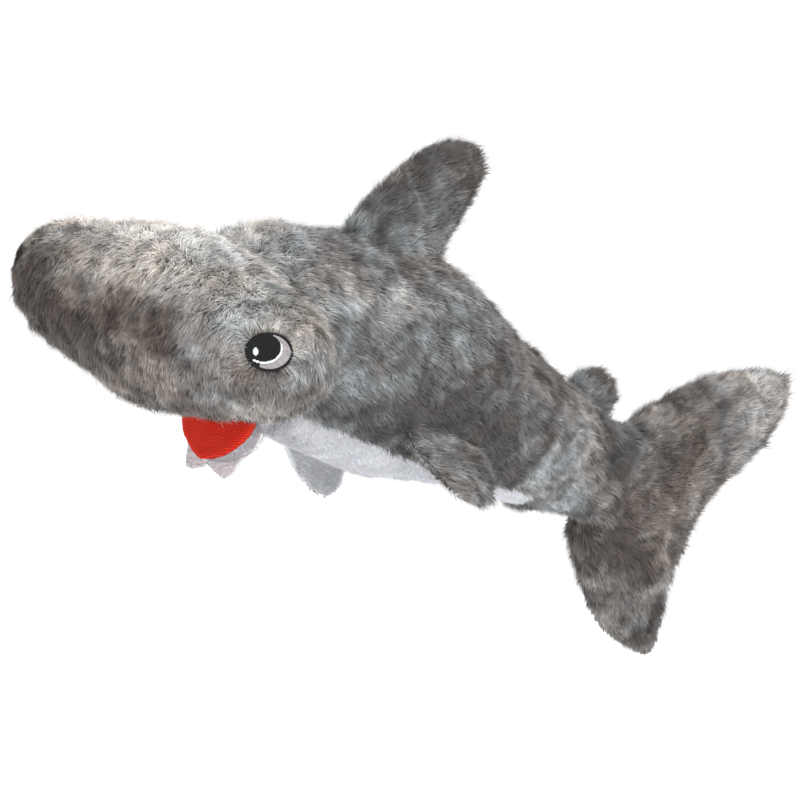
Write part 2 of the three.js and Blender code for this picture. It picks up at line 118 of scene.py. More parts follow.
# ---- Stuffed body ----------------------------------------------------------------------------
# The trunk, neck, hammer-shaped head, tail stalk and tail fin are one bag of fur cloth over
# loose fibre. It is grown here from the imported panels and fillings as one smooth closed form,
# which the sewn panels below are then cut from.


def arrays(mesh):
    """Vertex places and four-sided faces of a mesh, as arrays."""
    places = np.empty(len(mesh.vertices) * 3, np.float32)
    mesh.vertices.foreach_get("co", places)
    corners = np.empty(len(mesh.polygons) * 4, np.int32)
    mesh.polygons.foreach_get("vertices", corners)
    return places.reshape(-1, 3).astype(float), corners.reshape(-1, 4)


def normals_of(places, faces):
    """Smooth outward normal at each vertex."""
    across = np.cross(places[faces[:, 2]] - places[faces[:, 0]],
                      places[faces[:, 3]] - places[faces[:, 1]])
    total = np.zeros_like(places)
    for k in range(4):
        np.add.at(total, faces[:, k], across)
    return total / (np.linalg.norm(total, axis=1)[:, None] + 1e-12)


def relaxed(places, faces, rounds, share=0.5):
    """Vertices drawn towards the mean of their neighbours, then a little back out."""
    edges = np.concatenate([faces[:, [k, (k + 1) % 4]] for k in range(4)])
    count = np.zeros(len(places))
    np.add.at(count, edges[:, 0], 1)
    np.add.at(count, edges[:, 1], 1)
    for part in (share, -0.9 * share) * rounds:
        total = np.zeros_like(places)
        np.add.at(total, edges[:, 0], places[edges[:, 1]])
        np.add.at(total, edges[:, 1], places[edges[:, 0]])
        places = places + part * (total / count[:, None] - places)
    return places


def stuffed_form(nodes, voxel, closing, rounds):
    """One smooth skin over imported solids: swollen until their gaps close, then shrunk back."""
    bm = bmesh.new()
    for node in nodes:
        bm.from_mesh(frame["nodes"][node].data)
    bmesh.ops.remove_doubles(bm, verts=bm.verts, dist=1e-6)
    mesh = bpy.data.meshes.new("form")
    bm.to_mesh(mesh)
    bm.free()
    obj = bpy.data.objects.new("form", mesh)
    bpy.context.scene.collection.objects.link(obj)
    swell = obj.modifiers.new("swell", "DISPLACE")
    swell.mid_level, swell.strength = 0, closing
    remesh = obj.modifiers.new("remesh", "REMESH")
    remesh.mode, remesh.voxel_size = "VOXEL", voxel
    graph = bpy.context.evaluated_depsgraph_get()
    grown = bpy.data.meshes.new_from_object(obj.evaluated_get(graph))
    places, faces = arrays(grown)
    bpy.data.objects.remove(obj)
    # Only the outermost of the closed skins is kept.
    label = np.arange(len(places))
    while True:
        low = label[faces].min(1)
        before = label.copy()
        for k in range(4):
            np.minimum.at(label, faces[:, k], low)
        label = label[label]
        if (label == before).all():
            break
    largest = np.bincount(label).argmax()
    faces = faces[label[faces[:, 0]] == largest]
    used, faces = np.unique(faces, return_inverse=True)
    places, faces = places[used], faces.reshape(-1, 4)
    places = relaxed(places, faces, 4)
    places = places - closing * normals_of(places, faces)
    return relaxed(places, faces, rounds), faces


BODY = ["back_panel_left", "back_panel_right", "belly_panel", "body_stuffing", "head_top_panel",
        "head_underside_panel", "neck_panel", "throat_panel", "head_stuffing",
        "tail_panel_left", "tail_panel_right", "tail_underside_panel", "tail_stuffing",
        "tail_fin_left", "tail_fin_right", "tail_fin_stuffing"]
body_cell = 0.0022
body, body_faces = stuffed_form(BODY, body_cell, 0.0028, 14)


def lumps(places, faces, depth, size, seed):
    """The uneven fill of loose fibre: low swells and hollows along the skin's normals."""
    shift = Vector((seed * 3.1, seed * 1.7, seed * 0.9))
    rise = np.array([noise.noise(Vector(p) / size + shift) for p in places])
    return places + (rise * depth)[:, None] * normals_of(places, faces)


body = lumps(body, body_faces, 0.0016, 0.03, 1)
body = lumps(body, body_faces, 0.0011, 0.008, 6)

# Then the swells: a furrow behind the head, a flatter and wider hammer, a fuller underside to
# the tail stalk, and a thinner, slightly shorter tail fin.
facing = normals_of(body, body_faces)
behind, height = body[:, 1] - neck.y, body[:, 2] - axis_z
girth = np.hypot(body[:, 0], height)
furrow = 0.0026 * np.exp(-((behind + 0.0195) / 0.004) ** 2) * np.clip((girth - 0.02) / 0.01, 0, 1)
hammer = np.clip((-0.018 - behind) / 0.006, 0, 1)
right_lobe = np.clip((-0.05 - body[:, 0]) / 0.02, 0, 1)
stalk = np.exp(-((behind - 0.176) / 0.022) ** 2) * np.clip((-0.004 - height) / 0.01, 0, 1)
fin_lobe = np.clip((behind - 0.205) / 0.02, 0, 1)
swell = 0.001 - furrow * (height > -0.012) + 0.0055 * stalk - 0.002 * fin_lobe
swell = swell - 0.0022 * hammer * facing[:, 2] ** 2
body = body + swell[:, None] * facing
body[:, 0] -= 0.005 * hammer * right_lobe * facing[:, 0] ** 2
body[:, 2] -= 0.055 * fin_lobe * np.clip(height - 0.015, 0, 1)
body_tree = BVHTree.FromPolygons([Vector(p) for p in body], body_faces.tolist())


def snapped(places, value, gradient, cell):
    """Moves the vertices that are nearly on a seam, where value is 0, onto it."""
    steep = np.linalg.norm(gradient, axis=1)
    near = np.abs(value) < 0.6 * cell * steep
    moved = places.copy()
    moved[near] -= (value / steep ** 2)[near, None] * gradient[near]
    return moved


# Seam between the grey back and the white belly, as places along the toy and depths under
# its axis: it runs back from the throat and ends in a tongue under the tail.
seam_y = neck.y + np.array([-0.05, 0.02, 0.064, 0.095, 0.127, 0.15, 0.168, 0.174])
seam_z = axis_z - np.array([0.018, 0.0196, 0.019, 0.0196, 0.0172, 0.0142, 0.013, 0.04])


def over_seam(places):
    """Height over the seam, which is negative on the white cloth."""
    return places[:, 2] - np.interp(places[:, 1], seam_y, seam_z)


up = np.tile([0, 0, 1.0], (len(body), 1))
trunk = body[:, 1] > neck.y - 0.02
snap = snapped(body, over_seam(body), up, body_cell)
body[trunk] = snap[trunk]


def in_mouth(places, facing):
    """The walls and roof of the open mouth: inside its box, and facing its middle."""
    x, y, z = places[:, 0], places[:, 1] - neck.y, places[:, 2] - axis_z
    half_width, front, back, roof, lip = 0.0268, -0.0335, 0.006, -0.015, -0.045
    inside = (np.abs(x) < half_width) & (y > front) & (y < back) & (z < roof) & (z > lip)
    inwards = np.array([0, neck.y - 0.015, axis_z - 0.04]) - places
    return inside & ((facing * inwards).sum(1) > 0.45 * np.linalg.norm(inwards, axis=1))


def body_parts(middle, across):
    """Which panel each face belongs to, from the face's middle and the way it faces."""
    x, y, z = middle[:, 0], middle[:, 1] - neck.y, middle[:, 2] - axis_z
    # Where the neck, the back, the tail and the tail fin start, and where the white cloth ends.
    collar, back, tail, fin, tongue = -0.019, 0.03, 0.11, 0.205, 0.176
    hammer = y < collar
    white = (over_seam(middle) < 0) & (y > collar) & (y < tongue)
    part = np.where(hammer & (z < -0.023), "head_underside", "head_top")
    trunk, stalk = (y >= back) & (y < tail), (y >= tail) & (y < fin)
    part = np.where(~hammer & (y < back), "neck", part)
    part = np.where(trunk, np.where(x > 0, "back_left", "back_right"), part)
    part = np.where(stalk, np.where(x > 0, "tail_left", "tail_right"), part)
    part = np.where(y >= fin, np.where(x > 0, "tail_lobe_left", "tail_lobe_right"), part)
    part = np.where(white & (y < back), "throat", part)
    part = np.where(in_mouth(middle, across), "mouth_roof", part)
    part = np.where(white & trunk, "belly", part)
    return np.where(white & (y >= tail), "tail_underside", part)


body_normals = normals_of(body, body_faces)
face_part = body_parts(body[body_faces].mean(1), body_normals[body_faces].mean(1))

# The right eye is sewn a little further round the end of its lobe than the left one.
left_eye = sum(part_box("eye_left"), Vector()) / 2
right_eye = sum(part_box("eye_right"), Vector()) / 2 + Vector((0, 0.005, 0))


def body_flow(places):
    """The way the pile lies: down over the head, back along the trunk, out along the fin."""
    y, z = places[:, 1] - neck.y, places[:, 2] - axis_z
    head = np.clip((-0.012 - y) / 0.008, 0, 1)[:, None]
    lobe = np.clip((y - 0.2) / 0.03, 0, 1)[:, None]
    away_from_axis = np.clip(z / 0.03, -1, 1)[:, None]
    side = np.clip(places[:, :1] / 0.05, -1, 1)
    crown = np.clip((z[:, None] - 0.012) / 0.012, 0, 1)
    back = np.array([0, 1.0, -0.4])
    down = np.array([0, 0.3, -1.0]) * (1 - crown) + crown * (
        np.array([0, 0.6, -0.1]) + side * np.array([0.6, 0, 0]))
    fin = np.array([0, 0.8, 0.0]) + away_from_axis * np.array([0, 0, 0.8])
    return back * (1 - head) * (1 - lobe) + down * head + fin * lobe


def patches(places, spots):
    """Soft round patches of dye, each (x, y behind the neck, z over the axis, radius, depth)."""
    total = np.zeros(len(places))
    for x, y, z, radius, depth in spots:
        gap = np.linalg.norm(places - np.array([x, neck.y + y, axis_z + z]), axis=1)
        total += depth * np.exp(-(gap / radius) ** 2)
    return total


def body_dye_and_painted_light(places):
    """Where the fur is darker (below 0) or paler (above 0): the dye's own mottle, with painted
    highlight on top of the head and trunk, and darker towards the bottom of the head.
    """
    trunk_dye = -0.95 * np.clip((places[:, 1] - neck.y + 0.016) / 0.03, 0, 1)
    low_face = -0.8 * np.clip((axis_z + 0.006 - places[:, 2]) / 0.02, 0, 1) * (
        places[:, 1] < neck.y - 0.018)
    # The pale patches high on the head and trunk are partly the dye's pale mottle and partly
    # painted highlight where the light falls on their tops.
    return trunk_dye + low_face + patches(places, [
        (-0.066, -0.066, -0.006, 0.020, -1.6), (-0.042, -0.074, -0.026, 0.017, -1.2),
        (-0.014, -0.078, -0.020, 0.014, -1.5), (0.004, -0.08, -0.004, 0.010, -1.2),
        (0.018, -0.078, 0.0, 0.008, -0.9), (-0.055, -0.055, 0.028, 0.028, 1.5),
        (0.0, -0.055, 0.03, 0.03, 1.0), (0.012, -0.078, 0.014, 0.02, 0.7),
        (0.05, -0.06, 0.016, 0.022, 0.3), (0.066, -0.05, -0.026, 0.016, 0.4),
        (0.026, -0.074, -0.006, 0.01, -0.8), (0.0, -0.04, 0.034, 0.008, -0.9),
        (0.034, -0.004, 0.01, 0.018, -0.8), (0.018, 0.0, 0.036, 0.016, -0.5),
        (0.034, 0.022, 0.022, 0.026, 0.8), (0.04, 0.05, -0.004, 0.02, -0.9),
        (0.044, 0.078, 0.004, 0.018, -1.1), (0.042, 0.07, -0.014, 0.014, -0.8),
        (0.02, 0.075, 0.036, 0.024, 0.3), (0.024, 0.1, 0.034, 0.02, -0.4),
        (0.036, 0.108, -0.002, 0.016, -1.0), (0.03, 0.13, 0.016, 0.014, 0.5),
        (0.026, 0.145, 0.002, 0.016, -0.4), (0.02, 0.17, 0.0, 0.022, 0.8),
        (0.01, 0.205, 0.012, 0.016, -0.8), (0.01, 0.228, -0.018, 0.014, -0.9),
        (0.01, 0.232, -0.04, 0.012, 0.5), (0.01, 0.25, 0.03, 0.02, -0.2),
        (0.01, 0.28, 0.06, 0.024, 1.0), (0.01, 0.262, 0.05, 0.012, -0.4)])


def body_cool(places):
    """Where the dye is bluer (above 0) or browner (below 0)."""
    y = places[:, 1] - neck.y
    return patches(places, [
        (0.04, 0.035, 0.0, 0.045, 0.9), (0.04, 0.1, 0.0, 0.045, 0.7), (0.02, 0.18, 0, 0.03, 0.5),
        (-0.05, -0.07, -0.01, 0.04, -0.8), (0.005, -0.075, -0.015, 0.022, -0.6)]) - 0.35 * (
            np.clip((y - 0.2) / 0.02, 0, 1) + np.clip((-0.02 - y) / 0.02, 0, 1))


def eye_distance(places):
    """Distance from the nearer eye's middle."""
    return np.minimum(*(np.linalg.norm(places - np.array(eye), axis=1)
                        for eye in (left_eye, right_eye)))


# Round an eye the pile is short and points outwards, and under it there is none.
near_eye = np.clip(1 - (eye_distance(body) - 0.009) / 0.009, 0, 1)[:, None]
nearer = np.where(body[:, :1] > 0, np.array(left_eye), np.array(right_eye))
ring = (body - nearer) / (np.linalg.norm(body - nearer, axis=1)[:, None] + 1e-6)
body_attributes = {
    "flow": body_flow(body) * (1 - near_eye) + ring * near_eye,
    "cover": np.clip((eye_distance(body) - 0.0078) / 0.001, 0, 1)
    * ~in_mouth(body, body_normals),
    "reach": 1 - 0.5 * near_eye[:, 0],
    "tone": body_dye_and_painted_light(body),
    "cool": body_cool(body),
}


def cut_panel(name, places, faces, kept, attributes):
    """The kept faces of a form as an object of their own, with their attributes."""
    used, corners = np.unique(faces[kept], return_inverse=True)
    mesh = bpy.data.meshes.new(name)
    mesh.from_pydata(places[used].tolist(), [], corners.reshape(-1, 4).tolist())
    for key, values in attributes.items():
        kind = "FLOAT_VECTOR" if values.ndim == 2 else "FLOAT"
        slot = mesh.attributes.new(key, kind, "POINT")
        slot.data.foreach_set("vector" if values.ndim == 2 else "value",
                              values[used].astype(np.float32).ravel())
    mesh.polygons.foreach_set("use_smooth", [True] * len(mesh.polygons))
    obj = bpy.data.objects.new(name, mesh)
    bpy.context.scene.collection.objects.link(obj)
    return obj


def finished(obj):
    """Turns an object's live modifiers into its plain mesh."""
    graph = bpy.context.evaluated_depsgraph_get()
    made = bpy.data.meshes.new_from_object(obj.evaluated_get(graph))
    made.name = obj.name
    obj.modifiers.clear()
    obj.data = made
    return obj


# ---- Fur cloth -------------------------------------------------------------------------------
# The long-pile cloth is a knitted backing with thousands of fine acrylic fibres. The pile is
# mottled in grey, beige, blue-grey and brown, dark at its roots and pale at its tips.


def add(tree, kind, links=None, **settings):
    """A node with its settings made and its inputs linked or given a value."""
    node = tree.nodes.new(kind)
    for key, value in settings.items():
        setattr(node, key, value)
    for key, value in (links or {}).items():
        if isinstance(value, bpy.types.NodeSocket):
            tree.links.new(value, node.inputs[key])
        else:
            node.inputs[key].default_value = value
    return node


def number(tree, how, a, b):
    """The result of one sum in a tree."""
    return add(tree, "ShaderNodeMath", {0: a, 1: b}, operation=how).outputs[0]


def fibre():
    """One fibre as a bent, tapering ribbon that lies along X, a unit long."""
    mesh = bpy.data.meshes.new("fibre")
    rows = [(0, 0.5, -0.1), (0.5, 0.5, 0.42)]
    points = [(x, side * half, z) for x, half, z in rows for side in (-1, 1)] + [(1, 0, 0.55)]
    mesh.from_pydata(points, [], [(0, 2, 3, 1), (2, 4, 3)])
    along = mesh.attributes.new("along", "FLOAT", "POINT")
    along.data.foreach_set("value", [p[0] for p in points])
    mesh.polygons.foreach_set("use_smooth", [True] * 2)
    return bpy.data.objects.new("fibre", mesh)


fibre_object = fibre()


def pile_tree():
    """Nodes that stand fibres on a panel, laid along its flow and gathered in soft tufts."""
    tree = bpy.data.node_groups.new("pile", "GeometryNodeTree")
    for name, kind, default in (
            ("Panel", "NodeSocketGeometry", None), ("Fibre", "NodeSocketObject", None),
            ("Finish", "NodeSocketMaterial", None), ("Fibres per m2", "NodeSocketFloat", 1e6),
            ("Length", "NodeSocketFloat", 0.008), ("Width", "NodeSocketFloat", 0.0004),
            ("Lift", "NodeSocketFloat", 1.0), ("Tuft size", "NodeSocketFloat", 0.008),
            ("Tuft swirl", "NodeSocketFloat", 0.6), ("Seed", "NodeSocketInt", 1)):
        socket = tree.interface.new_socket(name=name, in_out="INPUT", socket_type=kind)
        if default is not None:
            socket.default_value = default
    tree.interface.new_socket(name="Pile", in_out="OUTPUT", socket_type="NodeSocketGeometry")
    given = tree.nodes.new("NodeGroupInput").outputs

    def named(name, kind="FLOAT"):
        return add(tree, "GeometryNodeInputNamedAttribute", {"Name": name},
                   data_type=kind).outputs["Attribute"]

    def times(a, b):
        return number(tree, "MULTIPLY", a, b)

    def vector(how, inputs):
        return add(tree, "ShaderNodeVectorMath", inputs, operation=how).outputs[0]

    def draw(least, most, seed):
        return add(tree, "FunctionNodeRandomValue", {2: least, 3: most, "Seed": seed},
                   data_type="FLOAT").outputs[1]

    density = times(given["Fibres per m2"], named("cover"))
    spread = add(tree, "GeometryNodeDistributePointsOnFaces",
                 {"Mesh": given["Panel"], "Density": density, "Seed": given["Seed"]},
                 distribute_method="RANDOM")
    place = add(tree, "GeometryNodeInputPosition").outputs[0]
    tuft = add(tree, "ShaderNodeTexNoise", {"Vector": place, "Detail": 1.5, "Roughness": 0.6,
               "Scale": number(tree, "DIVIDE", 1.0, given["Tuft size"])})
    middle = vector("SUBTRACT", {0: tuft.outputs["Color"], 1: (0.5, 0.5, 0.5)})
    swirl = vector("SCALE", {0: middle, "Scale": times(given["Tuft swirl"], 3.0)})
    stray = add(tree, "FunctionNodeRandomValue",
                {0: (-0.3, -0.3, -0.3), 1: (0.3, 0.3, 0.3), "Seed": 7},
                data_type="FLOAT_VECTOR").outputs[0]
    lie = vector("ADD", {0: named("flow", "FLOAT_VECTOR"), 1: swirl})
    lie = vector("ADD", {0: lie, 1: stray})
    upright = add(tree, "FunctionNodeAlignRotationToVector", {"Vector": spread.outputs["Normal"]},
                  axis="Z")
    turned = add(tree, "FunctionNodeAlignRotationToVector",
                 {"Rotation": upright.outputs[0], "Vector": lie}, axis="X", pivot_axis="Z")
    clump = add(tree, "ShaderNodeMapRange",
                {"Value": tuft.outputs[0], 1: 0.3, 2: 0.7, 3: 0.6, 4: 1.3}).outputs[0]
    size = times(draw(0.65, 1.15, 11), times(clump, named("reach")))
    length = times(size, given["Length"])
    rise = times(draw(0.6, 1.25, 13), given["Lift"])
    scale = add(tree, "ShaderNodeCombineXYZ",
                {0: length, 1: given["Width"], 2: times(length, rise)}).outputs[0]
    shape = add(tree, "GeometryNodeObjectInfo", {"Object": given["Fibre"]}).outputs["Geometry"]
    grown = add(tree, "GeometryNodeInstanceOnPoints", {
        "Points": spread.outputs["Points"], "Instance": shape,
        "Rotation": turned.outputs[0], "Scale": scale}).outputs[0]
    shaded = add(tree, "GeometryNodeStoreNamedAttribute",
                 {"Geometry": grown, "Name": "shade", "Value": draw(0.0, 1.0, 17)},
                 data_type="FLOAT", domain="INSTANCE").outputs[0]
    real = add(tree, "GeometryNodeRealizeInstances", {"Geometry": shaded}).outputs[0]
    painted = add(tree, "GeometryNodeSetMaterial",
                  {"Geometry": real, "Material": given["Finish"]}).outputs[0]
    smooth = add(tree, "GeometryNodeSetShadeSmooth", {"Geometry": painted}).outputs[0]
    out = tree.nodes.new("NodeGroupOutput")
    tree.links.new(smooth, out.inputs[0])
    return tree


pile_nodes = pile_tree()
pile_sockets = {item.name: item.identifier for item in pile_nodes.interface.items_tree}


def pile_on(panel, name, finish, side=0, **sizes):
    """The pile of one panel, or of its left (1) or right (-1) side, as a plain mesh of fibres."""
    obj = bpy.data.objects.new(name, panel.data.copy())
    if side:
        cover = obj.data.attributes["cover"].data
        for corner, vertex in zip(cover, obj.data.vertices):
            corner.value *= side * vertex.co.x > 0
    bpy.context.scene.collection.objects.link(obj)
    grow = obj.modifiers.new("grow", "NODES")
    grow.node_group = pile_nodes
    grow[pile_sockets["Fibre"]] = fibre_object
    grow[pile_sockets["Finish"]] = finish
    for key, value in sizes.items():
        grow[pile_sockets[key.replace("_", " ")]] = value
    return finished(obj)


def shader(name, rough, shine=0.5):
    """A material with its roughness and specular level, its nodes, and its Principled shader."""
    made = bpy.data.materials.new(name)
    made.use_nodes = True
    principled = made.node_tree.nodes["Principled BSDF"]
    principled.inputs["Roughness"].default_value = rough
    principled.inputs["Specular IOR Level"].default_value = shine
    return made, made.node_tree, principled


def spots(tree, size, detail=4.0, rough=0.6, warp=0.0, stretch=(1, 1, 1), at=(0, 0, 0)):
    """Noise over the toy's own place, for colours that drift across it."""
    place = add(tree, "ShaderNodeTexCoord").outputs["Object"]
    moved = add(tree, "ShaderNodeMapping", {"Vector": place, "Scale": stretch, "Location": at})
    return add(tree, "ShaderNodeTexNoise", {"Vector": moved.outputs[0], "Scale": 1 / size,
               "Detail": detail, "Roughness": rough, "Distortion": warp}).outputs[0]


def ramp(tree, value, stops):
    """A colour for each value, from (value, colour) stops."""
    node = add(tree, "ShaderNodeValToRGB", {0: value})
    while len(node.color_ramp.elements) < len(stops):
        node.color_ramp.elements.new(0.5)
    for element, (at, colour) in zip(node.color_ramp.elements, stops):
        element.position, element.color = at, (*colour, 1)
    return node.outputs[0]


def blended(tree, how, factor, a, b):
    """Two colours mixed in the way named by how."""
    node = add(tree, "ShaderNodeMix", data_type="RGBA", blend_type=how)
    for index, value in ((0, factor), (6, a), (7, b)):
        if isinstance(value, bpy.types.NodeSocket):
            tree.links.new(value, node.inputs[index])
        else:
            node.inputs[index].default_value = value
    return node.outputs[2]


def attribute(tree, name):
    """A number kept at each vertex."""
    return add(tree, "ShaderNodeAttribute", attribute_name=name).outputs["Fac"]


def grey_mottle_and_painted_light(tree):
    """The fur's dye, warm grey with drifts of blue-grey, brown and pale beige, and the painted
    highlight that the tone attribute carries.
    """
    drift = number(tree, "ADD", spots(tree, 0.017, 6, 0.68, 0.7),
                   number(tree, "MULTIPLY", attribute(tree, "tone"), 0.2))
    dye = ramp(tree, drift, [
        (0.2, (0.072, 0.063, 0.059)), (0.36, (0.172, 0.162, 0.157)),
        (0.51, (0.345, 0.337, 0.331)), (0.62, (0.475, 0.465, 0.454)), (0.78, (0.60, 0.59, 0.575))])
    streaked = blended(tree, "MULTIPLY", 0.8, dye, ramp(tree, spots(
        tree, 0.007, 4, 0.7, 0.4, (1, 0.6, 1), (3, 1, 5)), [
        (0.33, (0.5, 0.49, 0.48)), (0.5, (0.98, 0.98, 0.98)), (0.66, (1.34, 1.34, 1.33))]))
    hue = number(tree, "ADD", spots(tree, 0.025, 3, 0.5, 0.3, (1, 1, 1), (7, 2, 1)),
                 number(tree, "MULTIPLY", attribute(tree, "cool"), 0.22))
    return blended(tree, "MULTIPLY", 1.0, streaked, ramp(tree, hue, [
        (0.25, (1.05, 0.97, 0.90)), (0.45, (1.0, 0.99, 0.98)), (0.7, (0.87, 0.965, 1.03))]))


# Each fibre is darker at its root and paler at its tip, and a few are nearly white.
fur_pile, tree, bsdf = shader("grey_fur_pile", 0.62, 0.35)
greys = blended(tree, "MULTIPLY", 1.0, grey_mottle_and_painted_light(tree), ramp(tree, attribute(tree, "along"), [
    (0.0, (0.62, 0.61, 0.6)), (0.45, (1.0, 1.0, 1.0)), (1.0, (1.3, 1.3, 1.29))]))
greys = blended(tree, "MULTIPLY", 1.0, greys, ramp(tree, attribute(tree, "shade"), [
    (0.0, (0.82, 0.81, 0.8)), (0.5, (1, 1, 1)), (0.9, (1.1, 1.1, 1.1)), (1.0, (1.7, 1.72, 1.74))]))
tree.links.new(greys, bsdf.inputs["Base Color"])

fur_back, tree, bsdf = shader("grey_fur_backing", 0.95, 0.1)
tree.links.new(blended(tree, "MULTIPLY", 1.0, grey_mottle_and_painted_light(tree), (0.4, 0.4, 0.4, 1)),
               bsdf.inputs["Base Color"])

plush_pile, tree, bsdf = shader("white_plush_pile", 0.5, 0.4)
whites = ramp(tree, spots(tree, 0.02, 4, 0.6), [
    (0.3, (0.50, 0.51, 0.54)), (0.5, (0.60, 0.61, 0.64)), (0.7, (0.69, 0.70, 0.72))])
whites = blended(tree, "MULTIPLY", 1.0, whites, ramp(tree, attribute(tree, "along"), [
    (0.0, (0.8, 0.8, 0.81)), (0.5, (1.0, 1.0, 1.0)), (1.0, (1.1, 1.1, 1.1))]))
# A few fibres are painted far brighter than the rest: painted glints of the plush's sheen.
whites = blended(tree, "MULTIPLY", 1.0, whites, ramp(tree, attribute(tree, "shade"), [
    (0.0, (0.88, 0.88, 0.9)), (0.9, (1.0, 1.0, 1.0)), (0.97, (1.45, 1.48, 1.5))]))
tree.links.new(whites, bsdf.inputs["Base Color"])

plush_back, tree, bsdf = shader("white_plush_backing", 0.95)
tree.links.new(ramp(tree, spots(tree, 0.02, 4, 0.6), [
    (0.3, (0.6, 0.61, 0.64)), (0.7, (0.7, 0.71, 0.74))]), bsdf.inputs["Base Color"])


def sew(panel, nodes, finish, pile_finish, body_name, blend_to=None, ends=None, fill=0.8,
        slot="grey_fur", thick=0.0012, sides=(0,), **sizes):
    """Gives a panel its pile and thickness, and hangs both on its body; where it would bend to
    another body, both are left in place.
    """
    ending = {0: "", 1: "_left", -1: "_right"}
    piles = [pile_on(panel, f"{panel.name}_pile{ending[side]}", pile_finish, side, **sizes)
             for side in sides]
    depth = panel.modifiers.new("cloth", "SOLIDIFY")
    depth.thickness, depth.offset = thick, -1
    finished(panel)
    panel.data.materials.clear()
    panel.data.materials.append(finish)
    for piece in (panel, *piles):
        if blend_to:
            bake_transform(piece)
        else:
            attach(piece, body_name)
    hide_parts(*nodes)


# ---- Body panels -----------------------------------------------------------------------------
# Grey fur panels are cut and sewn over the head, neck, back, tail and tail fin, and a white
# short-pile panel covers the throat and belly. The panels meet in seams that the pile hides.
long_pile = {"Fibres_per_m2": 4.6e6, "Length": 0.0056, "Width": 0.00025, "Lift": 1.05,
             "Tuft_size": 0.005, "Tuft_swirl": 1.0}
short_pile = {"Fibres_per_m2": 4.0e6, "Length": 0.0019, "Width": 0.0002, "Lift": 1.3,
              "Tuft_size": 0.004, "Tuft_swirl": 0.8}
tail_pivot = Vector(joint["tail_swing"]["pos_m"])
fin_pivot = Vector(joint["tail_fin_swing"]["pos_m"])
neck_bend = ((0, neck.y + 0.026, neck.z), (0, neck.y - 0.012, neck.z))
tail_bend = ((0, tail_pivot.y - 0.022, tail_pivot.z), (0, tail_pivot.y + 0.022, tail_pivot.z))
fin_bend = ((0, fin_pivot.y - 0.012, fin_pivot.z), (0, fin_pivot.y + 0.012, fin_pivot.z))
panels = [
    ("head_top", ["head_top_panel", "head_stuffing"], "head", None, None),
    ("head_underside", ["head_underside_panel"], "head", None, None),
    ("neck", ["neck_panel"], "trunk", "head", neck_bend),
    ("throat", ["throat_panel"], "trunk", "head", neck_bend),
    ("back_left", ["back_panel_left", "body_stuffing"], "trunk", None, None),
    ("back_right", ["back_panel_right"], "trunk", None, None),
    ("belly", ["belly_panel"], "trunk", None, None),
    ("tail_left", ["tail_panel_left", "tail_stuffing"], "trunk", "tail", tail_bend),
    ("tail_right", ["tail_panel_right"], "trunk", "tail", tail_bend),
    ("tail_underside", ["tail_underside_panel"], "trunk", "tail", tail_bend),
    ("tail_lobe_left", ["tail_fin_left", "tail_fin_stuffing"], "tail", "tail_fin", fin_bend),
    ("tail_lobe_right", ["tail_fin_right"], "tail", "tail_fin", fin_bend),
]
for seed, (name, nodes, rides, bends_to, ends) in enumerate(panels):
    white = name in ("throat", "belly", "tail_underside")
    panel = cut_panel(name, body, body_faces, face_part == name, body_attributes)
    sew(panel, nodes, plush_back if white else fur_back, plush_pile if white else fur_pile,
        rides, bends_to, ends, slot="white_plush" if white else "grey_fur", Seed=seed + 1,
        sides=(1, -1) if name == "head_top" else (0,), **(short_pile if white else long_pile))

# ---- Fins on the back and at the sides -------------------------------------------------------
# Each fin is two cloth panels sewn round their edge, turned and filled, with its root sewn
# into a body seam.


def small_fin(nodes, root, outward, pull, seed, inset):
    """A fin's closed form, with its root drawn into the body so that no gap shows."""
    places, faces = stuffed_form(nodes, 0.0016, 0.0006, 8)
    span = (places - np.array(root)) @ np.array(outward)
    base = np.clip((0.0045 - span) / 0.003, 0, 1)
    places = places + base[:, None] * np.array(pull) - inset * normals_of(places, faces)
    return lumps(places, faces, 0.0006, 0.015, seed), faces, span


for name, filling, rides, sink, tall, inset, shift, seed in (
        ("dorsal_fin", "stuffing", "trunk", -0.012, 0.05, -0.0002, 0.0, 34),
        ("second_dorsal", "wadding", "tail", -0.009, 0.014, 0.0, -0.004, 37)):
    pivot = Vector(joint[f"{name}_lean"]["pos_m"])
    line = Vector(joint[f"{name}_lean"]["axis"])
    out = Vector((0, 0, 1)) - line * line.z
    out.normalize()
    nodes = [name + "_left", name + "_right", f"{name}_{filling}"]
    places, faces, span = small_fin(nodes, pivot, out, (0, 0, sink), 3, inset)
    share = np.clip(span / tall, 0, 1.2)
    places = places - (share ** 2)[:, None] * np.array([0, 0.003, -0.001])
    places[:, 1] += shift
    marks = {"flow": np.array([0, 0.75, 0.75]) + 0 * places,
             "cover": (span > -0.001).astype(float), "reach": 0.95 + 0 * span,
             "tone": -0.7 - 1.5 * np.clip(span / tall - 0.15, 0, 1),
             "cool": 1.0 - 1.4 * span / tall}
    on_left = places[faces].mean(1)[:, 0] > 0
    ends = (pivot - out * 0.005, pivot + out * 0.006)
    panel = cut_panel(f"{name}_left_panel", places, faces, on_left, marks)
    sew(panel, nodes[::2], fur_back, fur_pile, rides, name, ends, Seed=seed, **long_pile)
    panel = cut_panel(f"{name}_right_panel", places, faces, ~on_left, marks)
    sew(panel, [nodes[1]], fur_back, fur_pile, rides, name, ends, Seed=seed + 1, **long_pile)

